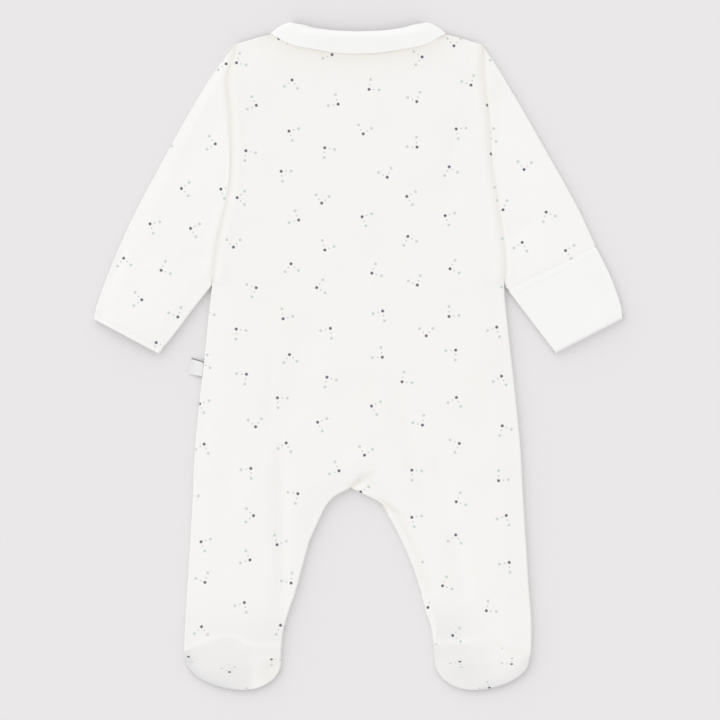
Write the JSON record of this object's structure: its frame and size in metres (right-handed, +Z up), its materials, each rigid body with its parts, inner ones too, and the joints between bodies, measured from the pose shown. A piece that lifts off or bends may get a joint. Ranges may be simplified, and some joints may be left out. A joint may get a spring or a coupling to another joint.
{
  "type": "footed baby sleepsuit",
  "caption": "Long-sleeved footed baby sleepsuit laid flat on its front, with a turn-down collar, a fold-over mitt and a sprig print.",
  "frame": {"origin": "bottom centre of the bounding box, on the surface that the suit lies on", "axes": "+X across the suit towards the wearer's right side, +Y up the body to the neck, +Z up out of the surface"},
  "size_m": [0.445, 0.5598, 0.0091],
  "materials": {
    "printed_jersey": "matt fine cotton knit with a small sprig print",
    "plain_jersey": "matt fine cotton knit, white",
    "ribbon": "woven satin ribbon, blank",
    "stud_plastic": "satin"
  },
  "bodies": {
    "root": {"back": "printed_jersey", "front_left": "printed_jersey", "front_right": "printed_jersey", "sleeve_left": "printed_jersey", "sleeve_right": "printed_jersey", "sole_left": "printed_jersey", "sole_right": "printed_jersey", "mitt_right": "plain_jersey", "collar": "plain_jersey", "side_label": "ribbon", "stud_1": "stud_plastic", "stud_2": "stud_plastic", "stud_3": "stud_plastic", "stud_4": "stud_plastic", "stud_5": "stud_plastic", "stud_6": "stud_plastic"}
  },
  "joints": []
}
